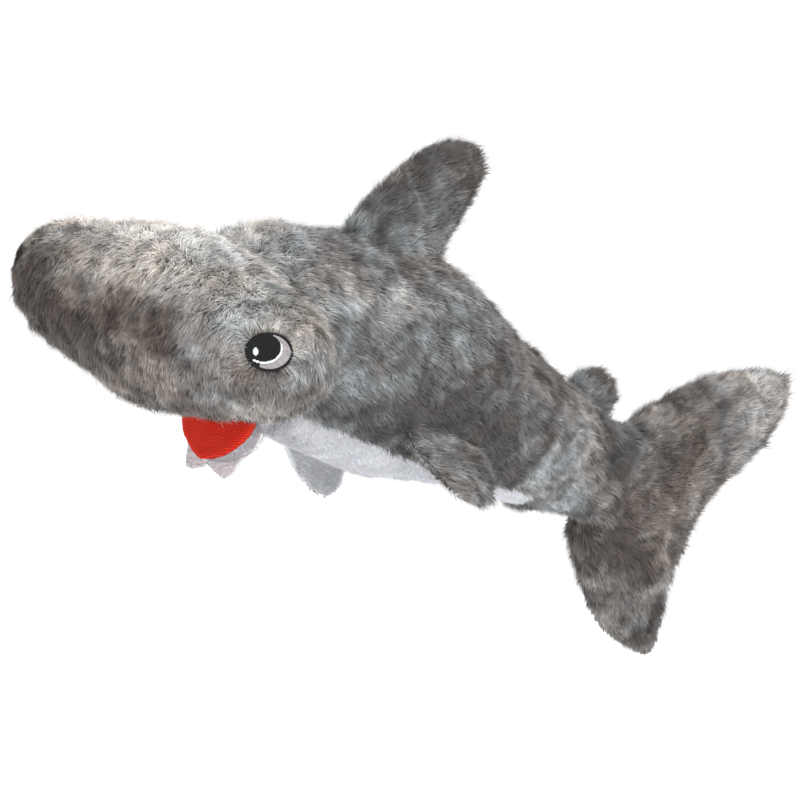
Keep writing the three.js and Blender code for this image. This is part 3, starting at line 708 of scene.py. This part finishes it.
# The left pectoral lies nearly flat, and the right one hangs and curls in under the belly.
for side, mirror, full_curl, slip, sweep, seam in (
        ("left", 1, math.radians(8), -0.0035, -0.008, -0.0006),
        ("right", -1, math.radians(34), 0.005, 0.004, 0.0016)):
    pivot = Vector(joint[f"pectoral_{side}_lift"]["pos_m"])
    nodes = [f"pectoral_top_{side}", f"pectoral_underside_{side}", f"pectoral_wadding_{side}"]
    middle = sum(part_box(nodes[2]), Vector()) / 2
    out = Vector((middle.x - pivot.x, 0, middle.z - pivot.z)).normalized()
    top = Vector((-out.z * mirror, 0, out.x * mirror))
    places, faces, span = small_fin(nodes, pivot, out, (-0.007 * mirror, 0, 0.006), 5, 0.0014)
    height = (places[faces].mean(1) - np.array(pivot)) @ np.array(top)
    lie = np.array(out) * 0.5 + np.array([0, 1.0, 0]) + 0 * places
    marks = {"flow": lie, "cover": (span > -0.007).astype(float), "reach": 0.85 + 0 * span,
             "tone": -0.8 + 0 * span, "cool": 0.2 + 0 * span}
    share = np.clip(span / span.max(), 0, 1)
    free = np.clip(share - 0.15, 0, 1)
    curl = full_curl * free ** 1.3
    bent = free * span.max()
    slide = bent * (np.sin(curl) / np.maximum(curl, 1e-6) - 1)
    slide = slide + slip * share
    drop = bent * (1 - np.cos(curl)) / np.maximum(curl, 1e-6)
    places = places + slide[:, None] * np.array(out) - drop[:, None] * np.array(top)
    places[:, 1] += sweep * share ** 2
    ends = (pivot - out * 0.006, pivot + out * 0.006)
    panel = cut_panel(f"pectoral_{side}_top", places, faces, height > seam, marks)
    sew(panel, [nodes[0], nodes[2]], fur_back, fur_pile, "trunk", f"pectoral_{side}", ends,
        Seed=31, **long_pile)
    panel = cut_panel(f"pectoral_{side}_underside", places, faces, height <= seam, marks)
    sew(panel, [nodes[1]], plush_back, plush_pile, "trunk", f"pectoral_{side}", ends,
        slot="white_plush", Seed=32, **short_pile)

# ---- Mouth -----------------------------------------------------------------------------------
# The mouth is lined with red ribbed knit. The jaw is a flat pad of white plush with the knit
# sewn over its face, and it hangs open from the head.
red_knit, tree, bsdf = shader("red_knit", 0.8, 0.25)
place = add(tree, "ShaderNodeTexCoord").outputs["Object"]
slant = add(tree, "ShaderNodeMapping", {"Vector": place, "Rotation": (0, math.radians(24), 0)})
ribs = add(tree, "ShaderNodeTexWave", {"Vector": slant.outputs[0], "Scale": 1 / 0.003,
           "Distortion": 1.6, "Detail": 2.0, "Detail Scale": 1.5}, bands_direction="Z")
weft = add(tree, "ShaderNodeTexNoise", {"Vector": place, "Scale": 1 / 0.0009, "Detail": 3.0})
knit = add(tree, "ShaderNodeMix", {0: 0.5, 2: ribs.outputs["Fac"], 3: weft.outputs[0]},
           data_type="FLOAT").outputs[0]
reds = ramp(tree, knit, [(0.3, (0.42, 0.010, 0.003)), (0.55, (0.62, 0.020, 0.005)),
                         (0.8, (0.74, 0.035, 0.010))])
tree.links.new(reds, bsdf.inputs["Base Color"])
raised = add(tree, "ShaderNodeBump", {"Height": knit, "Strength": 0.5, "Distance": 0.0004})
tree.links.new(raised.outputs[0], bsdf.inputs["Normal"])


roof = cut_panel("mouth_roof", body, body_faces, face_part == "mouth_roof", {})
lining = roof.modifiers.new("cloth", "SOLIDIFY")
lining.thickness, lining.offset = 0.001, -1
finished(roof)
roof.data.materials.append(red_knit)
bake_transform(roof)
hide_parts("palate_lining")

# The jaw's root reaches up into the head and its rear back to the throat, and it narrows
# towards its lip.
jaw_hinge = Vector(joint["jaw_open"]["pos_m"])
jaw_cell = 0.0011
jaw, jaw_faces = stuffed_form(["jaw_lining", "jaw_wadding", "jaw_underside"], jaw_cell, 0.0009, 14)
root = np.clip((jaw[:, 2] - jaw_hinge.z + 0.004) / 0.003, 0, 1)
rear = np.clip((jaw[:, 1] - jaw_hinge.y) / 0.003, 0, 1)
jaw = jaw + root[:, None] * np.array([0, 0, 0.0065])
jaw = jaw + (root * rear)[:, None] * np.array([0, 0.009, 0])
deep = np.clip((jaw_hinge.z - jaw[:, 2]) / 0.026, 0, 1)
jaw[:, 0] = jaw[:, 0] * (1 - 0.3 * deep ** 2)
jaw = lumps(jaw, jaw_faces, 0.0008, 0.012, 9)
jaw_front = np.percentile(jaw[:, 1], 3) + 0.0028
jaw = snapped(jaw, jaw[:, 1] - jaw_front, np.tile([0, 1.0, 0], (len(jaw), 1)), jaw_cell)
faces_in = jaw[jaw_faces].mean(1)[:, 1] < jaw_front
jaw_marks = {"flow": np.array([0, 0.4, -1.0]) + 0 * jaw,
             "cover": (jaw[:, 2] < jaw_hinge.z + 0.001).astype(float), "reach": 1 + 0 * jaw[:, 0]}
jaw_bend = (jaw_hinge + Vector((0, 0, 0.005)), jaw_hinge - Vector((0, 0, 0.006)))
jaw_under = cut_panel("jaw_plush", jaw, jaw_faces, ~faces_in, jaw_marks)
sew(jaw_under, ["jaw_underside", "jaw_wadding"], plush_back, plush_pile, "head", "jaw", jaw_bend,
    slot="white_plush", Seed=51, **short_pile)
jaw_face = cut_panel("jaw_knit", jaw, jaw_faces, faces_in, {})
lining = jaw_face.modifiers.new("cloth", "SOLIDIFY")
lining.thickness, lining.offset = 0.0014, 0.3
finished(jaw_face)
jaw_face.data.materials.append(red_knit)
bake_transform(jaw_face)
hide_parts("jaw_lining")

# ---- Teeth -----------------------------------------------------------------------------------
# Blunt points of soft white felt: two hang under the jaw's lip, on a band that runs up both
# of its sides, and two hang from a hem sewn along the roof of the mouth.
felt, tree, bsdf = shader("white_felt", 0.95)
tree.links.new(ramp(tree, spots(tree, 0.004, 4, 0.7), [
    (0.3, (0.74, 0.745, 0.76)), (0.7, (0.86, 0.865, 0.875))]), bsdf.inputs["Base Color"])
bsdf.inputs["Subsurface Weight"].default_value = 0.35
bsdf.inputs["Subsurface Radius"].default_value = (0.002, 0.002, 0.002)
felt_pile = {"Fibres_per_m2": 3.0e6, "Length": 0.0011, "Width": 0.00016, "Lift": 1.0,
              "Tuft_size": 0.003, "Tuft_swirl": 1.4}
noise.seed_set(3)
for name, rides in (("lower_teeth", "jaw"), ("upper_teeth", "head")):
    places, faces = stuffed_form([name], 0.00045, 0.0003, 6)
    bend = np.array([noise.noise_vector(Vector(p) / 0.009 + Vector((4, 1, 7))) for p in places])
    places = places + bend * (0.0016 if rides == "jaw" else 0.0006)
    marks = {"flow": np.array([0, 0, -1.0]) + 0 * places, "cover": 1 + 0 * places[:, 0],
             "reach": 1 + 0 * places[:, 0]}
    teeth = cut_panel(name + "_felt", places, faces, np.full(len(faces), True), marks)
    fuzz = pile_on(teeth, name + "_fuzz", plush_pile, Seed=61, **felt_pile)
    teeth.data.materials.append(felt)
    for piece in (teeth, fuzz):
        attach(piece, rides)
    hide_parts(name)

# ---- Eyes ------------------------------------------------------------------------------------
# Each eye is embroidered on the cloth in satin stitch: a black pupil with a small highlight,
# a white crescent along its lower edge, a lilac-grey rest, and a black outline all round.


def stitch_tree():
    """Nodes that turn drawn lines into round threads."""
    tree = bpy.data.node_groups.new("threads", "GeometryNodeTree")
    for name, kind in (("Lines", "NodeSocketGeometry"), ("Thread radius", "NodeSocketFloat"),
                       ("Thread", "NodeSocketMaterial")):
        tree.interface.new_socket(name=name, in_out="INPUT", socket_type=kind)
    tree.interface.new_socket(name="Threads", in_out="OUTPUT", socket_type="NodeSocketGeometry")
    given = tree.nodes.new("NodeGroupInput").outputs
    line = add(tree, "GeometryNodeMeshToCurve", {"Mesh": given["Lines"]}).outputs[0]
    round_ = add(tree, "GeometryNodeCurvePrimitiveCircle",
                 {"Resolution": 5, "Radius": given["Thread radius"]}).outputs[0]
    tube = add(tree, "GeometryNodeCurveToMesh",
               {"Curve": line, "Profile Curve": round_, "Fill Caps": True}).outputs[0]
    real = add(tree, "GeometryNodeRealizeInstances", {"Geometry": tube}).outputs[0]
    done = add(tree, "GeometryNodeSetMaterial",
               {"Geometry": real, "Material": given["Thread"]}).outputs[0]
    out = tree.nodes.new("NodeGroupOutput")
    tree.links.new(add(tree, "GeometryNodeSetShadeSmooth", {"Geometry": done}).outputs[0],
                   out.inputs[0])
    return tree


stitch_nodes = stitch_tree()
stitch_sockets = {item.name: item.identifier for item in stitch_nodes.interface.items_tree}


def threads(name, lines, radius, finish):
    """Lines of points, sewn as round threads."""
    points, edges = [], []
    for line in lines:
        edges += [(len(points) + k, len(points) + k + 1) for k in range(len(line) - 1)]
        points += [tuple(p) for p in line]
    mesh = bpy.data.meshes.new(name)
    mesh.from_pydata(points, edges, [])
    obj = bpy.data.objects.new(name, mesh)
    bpy.context.scene.collection.objects.link(obj)
    sewn = obj.modifiers.new("sewn", "NODES")
    sewn.node_group = stitch_nodes
    sewn[stitch_sockets["Thread radius"]] = radius
    sewn[stitch_sockets["Thread"]] = finish
    return finished(obj)


def thread_finish(name, colour, rough):
    """Embroidery thread, a little uneven in its dye."""
    made, tree, bsdf = shader(name, rough, 0.2)
    tone = spots(tree, 0.0012, 2, 0.5)
    dark, light = [c * 0.8 for c in colour], [min(1, c * 1.15) for c in colour]
    tree.links.new(ramp(tree, tone, [(0.35, dark), (0.65, light)]), bsdf.inputs["Base Color"])
    return made


eye_threads = {"pupil": thread_finish("black_thread", (0.004, 0.004, 0.005), 0.6),
               "white": thread_finish("white_thread", (0.62, 0.64, 0.66), 0.5),
               "highlight": thread_finish("pale_thread", (0.5, 0.55, 0.58), 0.5),
               "sclera": thread_finish("lilac_thread", (0.27, 0.255, 0.265), 0.5)}


eye_half_length, eye_half_height = 8.8, 7.0    # mm


def on_rim(share, angle):
    """A place on the eye's outline, or at a share of its size inside or outside it."""
    return (share * (eye_half_length + 0.1) * math.cos(angle),
            share * (eye_half_height + 0.1) * math.sin(angle))


def eye_colour(u, v):
    """The colour of thread at a place on the eye, in mm back and up from its middle."""
    if (u / eye_half_length) ** 2 + (v / eye_half_height) ** 2 > 1:
        return None
    if ((u + 5.5) / 1.1) ** 2 + (v / 1.6) ** 2 < 1:
        return "highlight"
    if ((u + 2.6) / 6.8) ** 2 + ((v - 1.7) / 5.3) ** 2 < 1:
        return "pupil"
    if ((u + 2.3) / 7.2) ** 2 + ((v - 1.2) / 5.9) ** 2 < 1 and v < 3.8 and u > -6.6:
        return "white"
    if u < -4:
        return "pupil"
    return "sclera"


for side, mirror, centre, turn in (("left", 1, left_eye, math.radians(33)),
                                   ("right", -1, right_eye, math.radians(12))):
    tilt = math.radians(20)
    facing = Vector((mirror * math.cos(turn), -math.sin(turn), 0))
    rear = Vector((mirror * math.sin(turn), math.cos(turn), 0))
    along_u = rear * math.cos(tilt) + Vector((0, 0, math.sin(tilt)))
    along_v = Vector((0, 0, math.cos(tilt))) - rear * math.sin(tilt)

    def on_face(u, v, proud):
        """The place on the cloth under (u, v) mm, and a little proud of it."""
        start = centre + (along_u * u + along_v * v) * 0.001 + facing * 0.03
        hit = body_tree.ray_cast(start, -facing)[0]
        crown = max(0, 1 - (u / 9.6) ** 2 - (v / 7.7) ** 2)
        return hit + facing * (0.0008 + 0.0008 * crown + proud)

    runs = {colour: [] for colour in eye_threads}
    for u in np.arange(-9, 9, 0.33):
        line, colour = [], None
        for v in np.arange(-7.6, 7.6, 0.38):
            here = eye_colour(u, v)
            if here != colour:
                if colour and len(line) > 1:
                    runs[colour].append(line)
                line, colour = [], here
            if here:
                line.append((u, v))
    for colour, lines in runs.items():
        arched = []
        for line in lines:
            rise = [0.00022 * math.sin(math.pi * k / (len(line) - 1)) for k in range(len(line))]
            arched.append([on_face(u, v, h) for (u, v), h in zip(line, rise)])
        piece = threads(f"eye_{side}_{colour}", arched, 0.00024, eye_threads[colour])
        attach(piece, "head")
        if colour == "pupil":
            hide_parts(f"eye_{side}")
    loops = [[on_face(*on_rim(share, a), 0.0002) for a in np.linspace(0, 2 * math.pi, 73)]
             for share in (0.94, 0.99, 1.035)]
    outline = threads(f"eye_{side}_outline", loops, 0.00028, eye_threads["pupil"])
    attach(outline, "head")

    # A black backing of rings and a middle point lies under the threads.
    pad_mesh = bpy.data.meshes.new(f"eye_{side}_backing")
    rings, count = (1.03, 0.75, 0.5, 0.25), 48
    points = [on_face(*on_rim(ring, a), -0.0004)
              for ring in rings for a in np.linspace(0, 2 * math.pi, count + 1)[:-1]]
    points.append(on_face(0, 0, -0.0004))
    steps = [(k, (k + 1) % count) for k in range(count)]
    cells = [(r + a, r + b, r + count + b, r + count + a)
             for r in range(0, (len(rings) - 1) * count, count) for a, b in steps]
    inner = (len(rings) - 1) * count
    cells += [(inner + a, inner + b, len(points) - 1) for a, b in steps]
    pad_mesh.from_pydata(points, [], cells if mirror > 0 else [cell[::-1] for cell in cells])
    pad = bpy.data.objects.new(f"eye_{side}_backing", pad_mesh)
    bpy.context.scene.collection.objects.link(pad)
    cloth = pad.modifiers.new("cloth", "SOLIDIFY")
    cloth.thickness, cloth.offset = 0.0012, -1
    finished(pad)
    pad.data.materials.append(eye_threads["pupil"])
    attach(pad, "head")

bpy.data.objects.remove(fibre_object)
